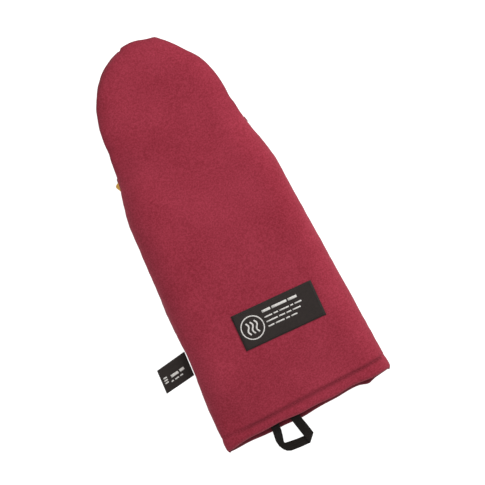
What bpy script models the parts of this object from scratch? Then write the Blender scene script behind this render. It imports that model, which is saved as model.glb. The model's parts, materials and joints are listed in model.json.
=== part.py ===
"""Puppet-style oven mitt, lying on its palm with the mouth closed.

Metres, +Z up. +Y runs from the cuff to the finger tip, the back of the hand is up, and the origin is on the
resting face under the palm. Inside the script, y is measured from the cuff edge and x from the centreline.
"""

import math

import bmesh
import bpy

# Overall outline
MITT_LENGTH = 0.381
MITT_HEIGHT = 0.040
CUFF_WIDTH = 0.172
KNUCKLE_WIDTH = 0.1456
WEB_WIDTH = 0.132
LOBE_WIDTH = 0.125
WEB_FROM_CUFF = 0.267
KNUCKLE_BEHIND_WEB = 0.031
TIP_LENGTH = 0.081
ORIGIN_FROM_CUFF = 0.145

# Cloth, from the outside in
COVER_THICKNESS = 0.0010
WALL_BATTING = 0.0045
MOUTH_BATTING = 0.0025
BARRIER_THICKNESS = 0.0004
LINER_THICKNESS = 0.0008
GUARD_THICKNESS = 0.0007
CLOTH_GAP = 0.0003
THREAD_RADIUS = 0.0004

# Mouth hinge
FINGER_SWING = math.radians(50)
THUMB_SWING = math.radians(40)
HINGE_CLEARANCE = 0.0006
GUARD_REACH = 0.045
GUARD_CORNER = 0.020
GUARD_EDGE_INSET = 0.0015

# Cuff
HEM_DEPTH = 0.0135
HEM_STITCH_INSET = 0.0020

# Labels
PATCH_LENGTH = 0.081
PATCH_WIDTH = 0.035
PATCH_THICKNESS = 0.0006
PATCH_CENTRE_X = 0.0129
PATCH_FROM_CUFF = 0.0929
PATCH_TURN = math.radians(-1.3)
PATCH_STITCH_INSET = 0.0018
FLAG_WIDTH = 0.024
FLAG_LENGTH = 0.030
FLAG_CLOTH = 0.0005
FLAG_FOLD_GAP = 0.0005
FLAG_FROM_CUFF = 0.0886
FLAG_SKEW = 0.007
FLAG_ROOT_GAP = 0.00105
FLAG_ROOT_PLY = 0.0003
FLAG_ROOT_TAPER = 0.003

# Hang loop
WEBBING_WIDTH = 0.0095
WEBBING_THICKNESS = 0.0012
LOOP_LEG_SPACING = 0.020
LOOP_CENTRE_X = -0.0255
LOOP_REACH = 0.028
LOOP_SKEW = 0.0045
LOOP_AXIS_OUT = 0.0010
LOOP_REST_GAP = 0.0003
LOOP_BELLY = 0.42
LOOP_SHOULDER = 0.80
LOOP_CORNER = 0.96
LOOP_END_SLANT = 0.0012
LOOP_END_CROOK = 0.0015
LOOP_CORNER_OUT = 0.0016
TAIL_LENGTH = 0.022
BARTACK_WIDTH = 0.0025
BARTACK_THICKNESS = 0.0006

# Mesh density
ARC_STEPS = 4
EASE_STEPS = 3
TIP_STEPS = 6
THREAD_SIDES = 6
MERGE = 0.000001

MIDDLE = MITT_HEIGHT / 2
SEAM_GAP = THREAD_RADIUS + CLOTH_GAP
LAYERS_FROM_CUFF = COVER_THICKNESS + CLOTH_GAP
TIP_CENTRE = MITT_LENGTH - TIP_LENGTH
KNUCKLE = WEB_FROM_CUFF - KNUCKLE_BEHIND_WEB
HINGE_REACH = MIDDLE * math.tan(max(FINGER_SWING, THUMB_SWING) / 2) + 3 * HINGE_CLEARANCE
MOUTH_HALF_GAP = GUARD_THICKNESS + 1.5 * CLOTH_GAP
LOBE_SEAM_Z = (MIDDLE + MOUTH_HALF_GAP + MITT_HEIGHT) / 2

WALL_LAYERS = (
    ("cover", COVER_THICKNESS),
    ("batting", WALL_BATTING),
    ("barrier", BARRIER_THICKNESS),
    ("liner", LINER_THICKNESS),
)
MOUTH_LAYERS = (
    ("cover", COVER_THICKNESS),
    ("batting", MOUTH_BATTING),
    ("liner", LINER_THICKNESS),
)
WALL_THICKNESS = sum(thickness for _, thickness in WALL_LAYERS) + CLOTH_GAP * (len(WALL_LAYERS) - 1)
MOUTH_THICKNESS = sum(thickness for _, thickness in MOUTH_LAYERS) + CLOTH_GAP * (len(MOUTH_LAYERS) - 1)
HEM_INNER = WALL_THICKNESS + CLOTH_GAP + COVER_THICKNESS
STITCH_DEPTH = HEM_INNER + CLOTH_GAP + THREAD_RADIUS
TAIL_Z = STITCH_DEPTH + THREAD_RADIUS + CLOTH_GAP
LOOP_AXIS_Z = TAIL_Z + WEBBING_THICKNESS / 2


def clear_scene():
    for obj in list(bpy.data.objects):
        bpy.data.objects.remove(obj, do_unlink=True)


def make_collection(name):
    collection = bpy.data.collections.new(name)
    bpy.context.scene.collection.children.link(collection)
    return collection


def make_material(name, colour, roughness):
    """A cloth or plastic material; the colour is linear red, green and blue."""
    material = bpy.data.materials.new(name)
    material.use_nodes = True
    shader = material.node_tree.nodes["Principled BSDF"]
    shader.inputs["Base Color"].default_value = (*colour, 1)
    shader.inputs["Roughness"].default_value = roughness
    shader.inputs["Metallic"].default_value = 0
    return material


def make_empty(name, location, parent=None):
    empty = bpy.data.objects.new(name, None)
    empty.location = location
    empty.parent = parent
    MITT.objects.link(empty)
    return empty


def place(obj, body, material):
    """Hangs a piece on its body's empty, with its mesh still measured from the cuff edge."""
    obj.data.materials.append(MATERIALS[material])
    obj.parent = BODIES[body]
    if body != "hand":
        obj.location = [here - there for here, there in zip(obj.location, BODIES[body].location)]
    MITT.objects.link(obj)
    return obj


def mesh_object(name, shape, body, material):
    """Turns a bmesh into a placed object and frees it."""
    mesh = bpy.data.meshes.new(name)
    shape.to_mesh(mesh)
    shape.free()
    mesh.shade_smooth()
    mesh.set_sharp_from_angle(angle=math.radians(40))
    return place(bpy.data.objects.new(name, mesh), body, material)


def ease(share):
    """Goes smoothly from 0 to 1."""
    share = min(max(share, 0), 1)
    return share * share * (3 - 2 * share)


def half_width(y):
    """Half the mitt's width at y, up to the start of the rounded tip; even where cloth meets the hinge."""
    if y <= KNUCKLE:
        share = max(y, 0) / KNUCKLE
        return (CUFF_WIDTH + (KNUCKLE_WIDTH - CUFF_WIDTH) * share) / 2
    waist = WEB_FROM_CUFF - HINGE_REACH
    if y <= waist:
        share = ease((y - KNUCKLE) / (waist - KNUCKLE))
        return (KNUCKLE_WIDTH + (WEB_WIDTH - KNUCKLE_WIDTH) * share) / 2
    waist = WEB_FROM_CUFF + HINGE_REACH
    share = max(y - waist, 0) / (TIP_CENTRE - waist)
    return (WEB_WIDTH + (LOBE_WIDTH - WEB_WIDTH) * min(share, 1)) / 2


def hinge_shift(z, swing):
    """How far back from the hinge line a cloth's end at height z keeps, so that it clears at full swing."""
    return HINGE_CLEARANCE + abs(z - MIDDLE) * math.tan(swing / 2)


class Rib:
    """A cross-section's line from the centreline out to the edge of the mitt."""

    def __init__(self, spine_y, reach, across=1.0, along=0.0, end=0, swing=0.0):
        self.spine_y = spine_y
        self.reach = reach
        self.across = across
        self.along = along
        self.end = end
        self.swing = swing

    def point(self, out, z):
        y = self.spine_y + self.along * out + self.end * (hinge_shift(z, self.swing) if self.end else 0)
        return (self.across * out, y, z)


def hand_ribs(start, swing):
    """Ribs of the hand part, from the cuff to the hinge's clearance face."""
    waist = WEB_FROM_CUFF - HINGE_REACH
    places = [start, (start + KNUCKLE) / 2]
    places += [KNUCKLE + (waist - KNUCKLE) * step / EASE_STEPS for step in range(EASE_STEPS + 1)]
    ribs = [Rib(y, half_width(y)) for y in places]
    return [*ribs, Rib(WEB_FROM_CUFF, half_width(WEB_FROM_CUFF), end=-1, swing=swing)]


def tip_reach(angle):
    """Distance and direction from the tip's centre to its elliptical edge."""
    x = LOBE_WIDTH / 2 * math.cos(angle)
    y = TIP_LENGTH * math.sin(angle)
    reach = math.hypot(x, y)
    return reach, x / reach, y / reach


def lobe_ribs(swing):
    """Ribs of a lobe, from the hinge's clearance face round to the tip."""
    first = WEB_FROM_CUFF + HINGE_REACH
    ribs = [Rib(WEB_FROM_CUFF, half_width(WEB_FROM_CUFF), end=1, swing=swing)]
    ribs += [Rib(y, half_width(y)) for y in (first, TIP_CENTRE)]
    for step in range(1, TIP_STEPS + 1):
        reach, across, along = tip_reach(math.pi / 2 * step / TIP_STEPS)
        ribs.append(Rib(TIP_CENTRE, reach, 0.0 if step == TIP_STEPS else across, along))
    return ribs


def arch(rib, depth, rim_z, crown_z):
    """Points of a surface depth inside the wall: rim, rounded shoulder, then across to the centreline."""
    rise = math.copysign(1, crown_z - rim_z)
    radius = abs(crown_z - rim_z) - depth
    points = []
    for step in range(ARC_STEPS + 1):
        angle = math.pi / 2 * step / ARC_STEPS
        out = rib.reach - depth - radius * (1 - math.cos(angle))
        points.append(rib.point(out, rim_z + rise * radius * math.sin(angle)))
    points.append(rib.point(0, rim_z + rise * radius))
    return points


def add_mirror(obj):
    mirror = obj.modifiers.new("Mirror", "MIRROR")
    mirror.use_axis = (True, False, False)
    mirror.merge_threshold = 0.00001


def loft(name, rows, closed_row, caps, body, material):
    """Skins rows of points with quads, caps the named end rows, and mirrors the half over the centreline."""
    shape = bmesh.new()
    grid = [[shape.verts.new(point) for point in row] for row in rows]
    count = len(grid[0])
    for row, following in zip(grid, grid[1:]):
        for k in range(count if closed_row else count - 1):
            after = (k + 1) % count
            shape.faces.new((row[k], row[after], following[after], following[k]))
    for cap in caps:
        row = grid[cap]
        if closed_row:
            shape.faces.new(row)
        else:
            for k in range(count // 2 - 1):
                shape.faces.new((row[k], row[k + 1], row[count - 2 - k], row[count - 1 - k]))
    bmesh.ops.remove_doubles(shape, verts=shape.verts[:], dist=MERGE)
    bmesh.ops.recalc_face_normals(shape, faces=shape.faces[:])
    obj = mesh_object(name, shape, body, material)
    add_mirror(obj)
    return obj


def shell(name, ribs, depths, rim_z, crown_z, body, material):
    """One layer of a wall, between two depths below its outer surface."""
    rows = []
    for rib in ribs:
        outer = arch(rib, depths[0], rim_z, crown_z)
        inner = arch(rib, depths[1], rim_z, crown_z)
        rows.append(outer[::-1] + inner)
    ends_on_centreline = ribs[-1].across == 0
    return loft(name, rows, False, (0,) if ends_on_centreline else (0, -1), body, material)


def layer_shells(prefix, layers, ribs, rim_z, crown_z, body):
    """All layers of one wall, from the outside in."""
    depth = 0
    for layer, thickness in layers:
        depths = (depth, depth + thickness)
        shell(f"{prefix}_{layer}", ribs, depths, rim_z, crown_z, body, layer)
        depth += thickness + CLOTH_GAP


def mirrored(z):
    """The height on the palm side that matches z on the back."""
    return MITT_HEIGHT - z


def make_walls():
    back = (MIDDLE + SEAM_GAP, MITT_HEIGHT)
    palm = tuple(mirrored(z) for z in back)
    layer_shells("back", WALL_LAYERS, hand_ribs(LAYERS_FROM_CUFF, FINGER_SWING), *back, "hand")
    layer_shells("palm", WALL_LAYERS, hand_ribs(LAYERS_FROM_CUFF, THUMB_SWING), *palm, "hand")


def make_lobe(prefix, body, swing, side):
    """A lobe's outer wall, the mouth face that closes its pocket, and the seam between them."""
    ribs = lobe_ribs(swing)
    outer = (side(LOBE_SEAM_Z + SEAM_GAP), side(MITT_HEIGHT))
    mouth = (side(LOBE_SEAM_Z - SEAM_GAP), side(MIDDLE + MOUTH_HALF_GAP))
    layer_shells(prefix, WALL_LAYERS, ribs, *outer, body)
    layer_shells(f"{prefix}_mouth", MOUTH_LAYERS, ribs, *mouth, body)
    thread_run(f"{prefix}_seam", lobe_seam_points(side(LOBE_SEAM_Z), swing), body)


def thread_run(name, points, body):
    """A line of sewing thread through the points."""
    curve = bpy.data.curves.new(name, "CURVE")
    curve.dimensions = "3D"
    spline = curve.splines.new("POLY")
    spline.points.add(len(points) - 1)
    for spot, point in zip(spline.points, points):
        spot.co = (*point, 1)
    curve.bevel_depth = THREAD_RADIUS
    curve.bevel_resolution = 1
    curve.use_fill_caps = True
    return place(bpy.data.objects.new(name, curve), body, "thread")


def lobe_seam_points(z, swing):
    """Round a lobe's edge, from one side of the hinge to the other."""
    inset = COVER_THICKNESS / 2
    start = WEB_FROM_CUFF + hinge_shift(z, swing) + THREAD_RADIUS
    half = [(half_width(y) - inset, y, z) for y in (start, WEB_FROM_CUFF + HINGE_REACH)]
    for step in range(TIP_STEPS + 1):
        reach, across, along = tip_reach(math.pi / 2 * step / TIP_STEPS)
        out = reach - inset
        half.append((across * out, TIP_CENTRE + along * out, z))
    return half + [(-x, y, height) for x, y, height in reversed(half[:-1])]


def make_side_seams():
    waist = WEB_FROM_CUFF - HINGE_REACH
    places = [LAYERS_FROM_CUFF + THREAD_RADIUS, (LAYERS_FROM_CUFF + KNUCKLE) / 2]
    places += [KNUCKLE + (waist - KNUCKLE) * step / EASE_STEPS for step in range(EASE_STEPS + 1)]
    places.append(WEB_FROM_CUFF - 2 * HINGE_CLEARANCE - THREAD_RADIUS)
    for name, side in (("right_side_seam", 1), ("left_side_seam", -1)):
        points = [(side * (half_width(y) - COVER_THICKNESS / 2), y, MIDDLE) for y in places]
        thread_run(name, points, "hand")


def arch_sweep(name, profile, rim_z, crown_z, body, material):
    """Carries a profile of (depth, y) pairs round the cuff's arch, from the rim to the centreline."""
    lines = [arch(Rib(y, half_width(y)), depth, rim_z, crown_z) for depth, y in profile]
    rows = list(zip(*lines))
    return loft(name, rows, True, (0,), body, material)


def make_hem(prefix, rim_z, crown_z):
    """Cover cloth turned in over the cuff edge, and the thread that holds it on the inside."""
    inner = WALL_THICKNESS + CLOTH_GAP
    profile = (
        (0, 0),
        (HEM_INNER, 0),
        (HEM_INNER, HEM_DEPTH),
        (inner, HEM_DEPTH),
        (inner, COVER_THICKNESS),
        (0, COVER_THICKNESS),
    )
    arch_sweep(f"{prefix}_hem", profile, rim_z, crown_z, "hand", "cover")
    middle_y = HEM_DEPTH - HEM_STITCH_INSET
    circle = []
    for side in range(THREAD_SIDES):
        angle = 2 * math.pi * side / THREAD_SIDES
        depth = STITCH_DEPTH + THREAD_RADIUS * math.cos(angle)
        circle.append((depth, middle_y + THREAD_RADIUS * math.sin(angle)))
    arch_sweep(f"{prefix}_hem_stitch", circle, rim_z, crown_z, "hand", "thread")


def block(name, low, high, body, material, turn=0.0):
    """A box between two corners, turned about its own upright axis."""
    shape = bmesh.new()
    bmesh.ops.create_cube(shape, size=1)
    sizes = [top - bottom for bottom, top in zip(low, high)]
    bmesh.ops.scale(shape, vec=sizes, verts=shape.verts[:])
    obj = mesh_object(name, shape, body, material)
    centre = [(bottom + top) / 2 for bottom, top in zip(low, high)]
    obj.location = [spot + middle for spot, middle in zip(obj.location, centre)]
    obj.rotation_euler = (0, 0, turn)
    return obj


def make_mouth_crease():
    """The folds of the mouth cloth and of the web guard, where the two lobes part."""
    shoulder = MIDDLE - SEAM_GAP - WALL_THICKNESS
    guard_front = WEB_FROM_CUFF - 2 * HINGE_CLEARANCE
    guard_back = guard_front - GUARD_THICKNESS
    cloth_front = guard_back - CLOTH_GAP
    cloth_back = cloth_front - COVER_THICKNESS
    guard_rise = GUARD_THICKNESS + CLOTH_GAP
    cloth_rise = MOUTH_HALF_GAP + MOUTH_THICKNESS - CLOTH_GAP
    narrowing = shoulder - math.sqrt(shoulder**2 - cloth_rise**2)
    inside = half_width(WEB_FROM_CUFF) - WALL_THICKNESS - narrowing - 2 * CLOTH_GAP
    for name, front, back, rise, material in (
        ("web_guard_fold", guard_front, guard_back, guard_rise, "guard"),
        ("mouth_fold", cloth_front, cloth_back, cloth_rise, "cover"),
    ):
        block(name, (-inside, back, MIDDLE - rise), (inside, front, MIDDLE + rise), "hand", material)


def flat_outline(name, points, thickness, body, material):
    """A flat piece with the given outline, centred on its own plane."""
    curve = bpy.data.curves.new(name, "CURVE")
    curve.dimensions = "2D"
    curve.fill_mode = "BOTH"
    curve.extrude = thickness / 2
    spline = curve.splines.new("POLY")
    spline.points.add(len(points) - 1)
    for spot, (x, y) in zip(spline.points, points):
        spot.co = (x, y, 0, 1)
    spline.use_cyclic_u = True
    return place(bpy.data.objects.new(name, curve), body, material)


def guard_outline(swing):
    """A flap of the web guard: full width at the web, with rounded corners on the lobe."""
    back = WEB_FROM_CUFF + hinge_shift(MIDDLE + MOUTH_HALF_GAP, swing)
    front = WEB_FROM_CUFF + GUARD_REACH
    half_back = half_width(back) - GUARD_EDGE_INSET - (LOBE_SEAM_Z - MIDDLE - MOUTH_HALF_GAP)
    half_front = half_width(front) - GUARD_EDGE_INSET - (LOBE_SEAM_Z - MIDDLE - MOUTH_HALF_GAP)
    right = [(half_back, back), (half_front, front - GUARD_CORNER)]
    for step in range(1, ARC_STEPS + 1):
        angle = math.pi / 2 * step / ARC_STEPS
        x = half_front - GUARD_CORNER * (1 - math.cos(angle))
        right.append((x, front - GUARD_CORNER * (1 - math.sin(angle))))
    return right + [(-x, y) for x, y in reversed(right)]


def make_guard_flaps():
    for name, body, swing, side in (
        ("web_guard_upper", "finger_lobe", FINGER_SWING, 1),
        ("web_guard_lower", "thumb_lobe", THUMB_SWING, -1),
    ):
        flap = flat_outline(name, guard_outline(swing), GUARD_THICKNESS, body, "guard")
        flap.location.z += MIDDLE + side * (CLOTH_GAP / 2 + GUARD_THICKNESS / 2)


def make_patch():
    bottom = MITT_HEIGHT + CLOTH_GAP
    top = bottom + PATCH_THICKNESS
    low = (PATCH_CENTRE_X - PATCH_LENGTH / 2, PATCH_FROM_CUFF - PATCH_WIDTH / 2, bottom)
    high = (PATCH_CENTRE_X + PATCH_LENGTH / 2, PATCH_FROM_CUFF + PATCH_WIDTH / 2, top)
    block("label_patch", low, high, "hand", "label", PATCH_TURN)
    half_x = PATCH_LENGTH / 2 - PATCH_STITCH_INSET
    half_y = PATCH_WIDTH / 2 - PATCH_STITCH_INSET
    corners = [(half_x, half_y), (-half_x, half_y), (-half_x, -half_y), (half_x, -half_y)]
    stitch = thread_run("label_stitch", [(x, y, 0) for x, y in corners], "hand")
    stitch.data.splines[0].use_cyclic_u = True
    stitch.location = (PATCH_CENTRE_X, PATCH_FROM_CUFF, top + CLOTH_GAP + THREAD_RADIUS)
    stitch.rotation_euler = (0, 0, PATCH_TURN)


def make_flag():
    """A folded label, two plies that meet in a fold at the outer end, with its origin on the seam."""
    ply = (FLAG_FOLD_GAP + FLAG_CLOTH) / 2
    upper = [(-FLAG_ROOT_GAP, FLAG_ROOT_PLY), (-FLAG_ROOT_TAPER, ply), (ply - FLAG_LENGTH, ply)]
    profile = [*upper, (-FLAG_LENGTH, 0), *((x, -z) for x, z in reversed(upper))]
    shape = bmesh.new()
    skew = FLAG_SKEW / FLAG_LENGTH
    near = [shape.verts.new((x, x * skew - FLAG_WIDTH / 2, z)) for x, z in profile]
    far = [shape.verts.new((x, x * skew + FLAG_WIDTH / 2, z)) for x, z in profile]
    for k in range(len(profile) - 1):
        shape.faces.new((near[k], near[k + 1], far[k + 1], far[k]))
    bmesh.ops.recalc_face_normals(shape, faces=shape.faces[:])
    flag = mesh_object("side_flag_label", shape, "flag_label", "label")
    flag.location = (0, 0, 0)
    thickness = flag.modifiers.new("Cloth", "SOLIDIFY")
    thickness.thickness = FLAG_CLOTH
    thickness.offset = 0
    return flag


def loop_outline(scale_y):
    """The webbing loop laid flat: two legs and a slanting end, skewed to the right."""
    left = LOOP_CENTRE_X - LOOP_LEG_SPACING / 2
    right = LOOP_CENTRE_X + LOOP_LEG_SPACING / 2
    half = WEBBING_WIDTH / 2
    start = -CLOTH_GAP
    inner = LOOP_REACH - WEBBING_WIDTH
    outline = (
        (left - half, start),
        (left - half - LOOP_SKEW / 2, -LOOP_REACH * LOOP_BELLY),
        (left - half + LOOP_SKEW / 2, -LOOP_REACH * LOOP_SHOULDER),
        (left + half / 2, -LOOP_REACH * LOOP_CORNER),
        (right + LOOP_CORNER_OUT, -LOOP_REACH),
        (right + half + LOOP_SKEW, -inner - LOOP_END_SLANT),
        (right + half, start),
        (right - half, start),
        (right + LOOP_END_CROOK, -inner - LOOP_END_SLANT),
        (left + LOOP_END_CROOK / 2, -inner + LOOP_END_SLANT),
        (left + half - LOOP_END_CROOK, -inner / 2),
        (left + half, start),
    )
    return [(x, y * scale_y) for x, y in outline]


def make_hang_loop():
    drop = LOOP_AXIS_Z - LOOP_REST_GAP - WEBBING_THICKNESS / 2
    slope = math.atan2(drop, LOOP_REACH)
    outline = loop_outline(1 / math.cos(slope))
    loop = flat_outline("hang_loop", outline, WEBBING_THICKNESS, "hang_loop", "webbing")
    loop.location = (0, 0, 0)
    loop.rotation_euler = (slope, 0, 0)
    for name, side in (("left", -1), ("right", 1)):
        x = LOOP_CENTRE_X + side * LOOP_LEG_SPACING / 2
        low = (x - WEBBING_WIDTH / 2, CLOTH_GAP, TAIL_Z)
        high = (x + WEBBING_WIDTH / 2, TAIL_LENGTH, TAIL_Z + WEBBING_THICKNESS)
        block(f"hang_loop_{name}_tail", low, high, "hand", "webbing")
        tack_y = HEM_DEPTH / 2
        tack_z = TAIL_Z + WEBBING_THICKNESS + CLOTH_GAP
        low = (x - WEBBING_WIDTH / 2, tack_y - BARTACK_WIDTH / 2, tack_z)
        high = (x + WEBBING_WIDTH / 2, tack_y + BARTACK_WIDTH / 2, tack_z + BARTACK_THICKNESS)
        block(f"hang_loop_{name}_bartack", low, high, "hand", "thread")


clear_scene()
MITT = make_collection("oven_mitt")
MATERIALS = {
    "cover": make_material("red_canvas", (0.325, 0.031, 0.053), 0.85),
    "batting": make_material("cotton_batting", (0.80, 0.76, 0.66), 1.0),
    "barrier": make_material("barrier_film", (0.55, 0.60, 0.62), 0.35),
    "liner": make_material("cotton_liner", (0.62, 0.60, 0.54), 0.9),
    "guard": make_material("yellow_aramid", (0.78, 0.45, 0.12), 0.8),
    "thread": make_material("red_thread", (0.22, 0.015, 0.03), 0.7),
    "label": make_material("black_label", (0.03, 0.026, 0.024), 0.75),
    "webbing": make_material("black_webbing", (0.022, 0.019, 0.017), 0.7),
}
FRAME = make_empty("mitt_frame", (0, -ORIGIN_FROM_CUFF, 0))
FLAG_X = -half_width(FLAG_FROM_CUFF)
BODIES = {
    "hand": FRAME,
    "finger_lobe": make_empty("finger_hinge", (0, WEB_FROM_CUFF, MIDDLE), FRAME),
    "thumb_lobe": make_empty("thumb_hinge", (0, WEB_FROM_CUFF, MIDDLE), FRAME),
    "hang_loop": make_empty("loop_hinge", (0, -LOOP_AXIS_OUT, LOOP_AXIS_Z), FRAME),
    "flag_label": make_empty("flag_hinge", (FLAG_X, FLAG_FROM_CUFF, MIDDLE), FRAME),
}
BODIES["flag_label"].rotation_euler = (0, 0, -math.atan((CUFF_WIDTH - KNUCKLE_WIDTH) / 2 / KNUCKLE))

make_walls()
make_lobe("finger", "finger_lobe", FINGER_SWING, lambda z: z)
make_lobe("thumb", "thumb_lobe", THUMB_SWING, mirrored)
make_side_seams()
make_hem("back", MIDDLE + SEAM_GAP, MITT_HEIGHT)
make_hem("palm", MIDDLE - SEAM_GAP, 0)
make_mouth_crease()
make_guard_flaps()
make_patch()
make_flag()
make_hang_loop()
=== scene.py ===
"""The looks of the puppet-style oven mitt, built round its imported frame. Metres, in the frame's own axes."""
import json
import math

import bmesh
import bpy
import numpy as np
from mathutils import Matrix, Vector, noise
from mathutils.bvhtree import BVHTree


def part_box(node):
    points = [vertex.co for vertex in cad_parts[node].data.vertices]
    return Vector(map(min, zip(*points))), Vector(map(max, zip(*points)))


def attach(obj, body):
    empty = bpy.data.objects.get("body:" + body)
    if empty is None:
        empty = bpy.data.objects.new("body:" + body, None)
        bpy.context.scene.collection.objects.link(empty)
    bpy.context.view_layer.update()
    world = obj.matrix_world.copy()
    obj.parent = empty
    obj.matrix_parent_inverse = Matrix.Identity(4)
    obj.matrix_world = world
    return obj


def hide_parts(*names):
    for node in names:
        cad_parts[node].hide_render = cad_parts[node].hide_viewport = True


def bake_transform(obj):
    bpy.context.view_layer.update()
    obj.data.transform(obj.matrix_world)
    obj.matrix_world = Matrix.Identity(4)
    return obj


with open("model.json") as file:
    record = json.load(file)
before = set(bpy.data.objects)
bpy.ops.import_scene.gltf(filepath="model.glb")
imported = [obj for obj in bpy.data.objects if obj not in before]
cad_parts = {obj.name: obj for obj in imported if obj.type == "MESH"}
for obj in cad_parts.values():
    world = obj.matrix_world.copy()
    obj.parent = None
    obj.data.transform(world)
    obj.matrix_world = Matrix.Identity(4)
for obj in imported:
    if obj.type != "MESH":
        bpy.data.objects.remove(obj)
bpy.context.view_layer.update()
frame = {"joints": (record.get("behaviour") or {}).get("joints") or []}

# Places read from the frame
CUFF_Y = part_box("back_hem")[0].y
TIP_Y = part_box("finger_cover")[1].y
TOP_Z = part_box("back_cover")[1].z
CUFF_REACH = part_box("back_hem")[1].x + 0.0006
JOINTS = {joint["name"]: joint for joint in frame["joints"]}
WEB = Vector(JOINTS["finger_lobe_hinge"]["pos_m"])
LOOP_AXIS = Vector(JOINTS["hang_loop_swing"]["pos_m"])
FLAG_AXIS = Vector(JOINTS["flag_label_flex"]["pos_m"])
FLAG_LINE = Vector(JOINTS["flag_label_flex"]["axis"])
MIDDLE = WEB.z

# Outline of the sewn mitt: half widths, and distances from the web
KNUCKLE_REACH = 0.0760
WAIST_REACH = 0.0664
LOBE_REACH = 0.0625
KNUCKLE_BEHIND_WEB = 0.036
WAIST_BEYOND_WEB = 0.004
TIP_LENGTH = 0.081
TIP_CENTRE = TIP_Y - TIP_LENGTH
SHOULDER_HAND = 0.030
SHOULDER_LOBE = 0.026
SHOULDER_POWER = 2.25
SHOULDER_CHANGE = 0.03
SHOULDER_MOST = 0.9
VALLEY_FADE = 9
FULL_FROM = 0.35
SEAM_VALLEY = 0.0016
SEAM_SPLIT_LENGTH = 0.024
LOBE_SEAM_Z = 0.0305
MOUTH_PLANE = 0.0012
RIM_GAP = 0.0002
TABLE_GAP = 0.00025

# Soft hollows in the back: x, y, radius and depth
DENTS = (
    (-0.068, CUFF_Y + 0.020, 0.022, 0.0046),
    (-0.054, WEB.y + 0.010, 0.013, 0.0020),
    (0.050, WEB.y + 0.020, 0.026, 0.0014),
    (0.010, WEB.y - 0.060, 0.040, 0.0012),
)

# The label pulls the seam in a little where it is sewn
FLAG_NOOK = 0.0014
FLAG_NOOK_LENGTH = 0.022

# How much flatter the back is at the cuff, the web and the tip, and the palm's share of that
CUFF_SOFTNESS = 0.0035
CUFF_SOFT_LENGTH = 0.07
WEB_SOFTNESS = 0.0022
WEB_SOFT_LENGTH = 0.022
TIP_SOFTNESS = 0.0030
PALM_SOFT_SHARE = 0.25

# The palm is cut fuller on the left of the hand and at the tip
PALM_FULLER_HAND = 0.0019
PALM_FULLER_TIP = 0.0036

# The sewn tip by angle round its centre, in degrees: depth, middle and spread of its flats and its corner
TIP_FLATS = ((0.036, 52, 13), (0.013, 80, 6))
TIP_CORNER = (0.014, 72.5, 2.8)
TIP_STEP = 0.024
TIP_STEP_START = 96
TIP_STEP_END = 112
TIP_FACET_REACH = 0.075

# Cloth
CANVAS = 0.0009
WALL = 0.0079
HEM_DEPTH = 0.0135
SEAM_THINNING = 0.016
LAYERS_AT_SEAM = 0.22
HEM_AT_SEAM = 0.30

ROW_STEP = 0.0024
FINE_STEP = 0.0009
FINE_CUFF = 0.019
FINE_WEB = 0.016
TIP_ROWS = 44
RIM_COLUMNS = 22
FLAT_COLUMNS = 14
POLE_REACH = 0.016

# Unevenness of the padding, and puckers at the seams
BACK_SWELL = 0.0011
PALM_SWELL = 0.0005
MOUTH_SWELL = 0.0003
PUCKER_DEPTH = 0.00045
PUCKER_SCALE = 0.0075


def ease(share):
    share = np.clip(share, 0, 1)
    return share * share * (3 - 2 * share)


def hump(value, height, middle, spread):
    """A smooth hump of this height and spread round the middle."""
    return height * np.exp(-(((value - middle) / spread) ** 2))


def edge_reach(y):
    """Half the mitt's width at y, all the way to the tip."""
    y = np.asarray(y, float)
    places = (CUFF_Y, WEB.y - KNUCKLE_BEHIND_WEB, WEB.y + WAIST_BEYOND_WEB, TIP_CENTRE)
    reaches = (CUFF_REACH, KNUCKLE_REACH, WAIST_REACH, LOBE_REACH)
    steps = np.linspace(-0.008, 0.008, 9)
    straight = np.mean([np.interp(y + step, places, reaches) for step in steps], axis=0)
    straight = LOBE_REACH + (straight - LOBE_REACH) * (1 - ease((y - TIP_CENTRE + 0.012) / 0.012))
    tip = LOBE_REACH * np.sqrt(np.clip(1 - (np.clip(y - TIP_CENTRE, 0, None) / TIP_LENGTH) ** 2, 0, 1))
    return np.where(y < TIP_CENTRE, straight, tip)


def rim_height(y):
    """How far the seam of a lobe has parted from the mitt's middle plane."""
    return (LOBE_SEAM_Z - MIDDLE) * ease((y - WEB.y) / SEAM_SPLIT_LENGTH)


def crown_height(y, side):
    """Height of the wall above the middle plane: a little flatter at the cuff, the web and the tip."""
    cuff = CUFF_SOFTNESS * (1 - ease((y - CUFF_Y) / CUFF_SOFT_LENGTH))
    web = hump(y, WEB_SOFTNESS, WEB.y, WEB_SOFT_LENGTH)
    tip = TIP_SOFTNESS * ease((y - TIP_CENTRE) / TIP_LENGTH)
    soft = cuff + web + tip
    return TOP_Z - MIDDLE - (soft if side > 0 else PALM_SOFT_SHARE * soft)


class Row:
    """One rib across the mitt: where its middle is, and how it runs out to both edges."""

    def __init__(self, spine, across, along, reach):
        self.spine = spine
        self.across = across
        self.along = along
        self.reach = reach


def row_places(start_y):
    """Places of the straight ribs, closer together at the hem and at the web."""
    places = [start_y]
    while places[-1] < TIP_CENTRE - ROW_STEP:
        y = places[-1]
        fine = y < CUFF_Y + FINE_CUFF or abs(y - WEB.y) < FINE_WEB
        places.append(y + (FINE_STEP if fine else ROW_STEP))
    return [*places[:-1], TIP_CENTRE]


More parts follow.
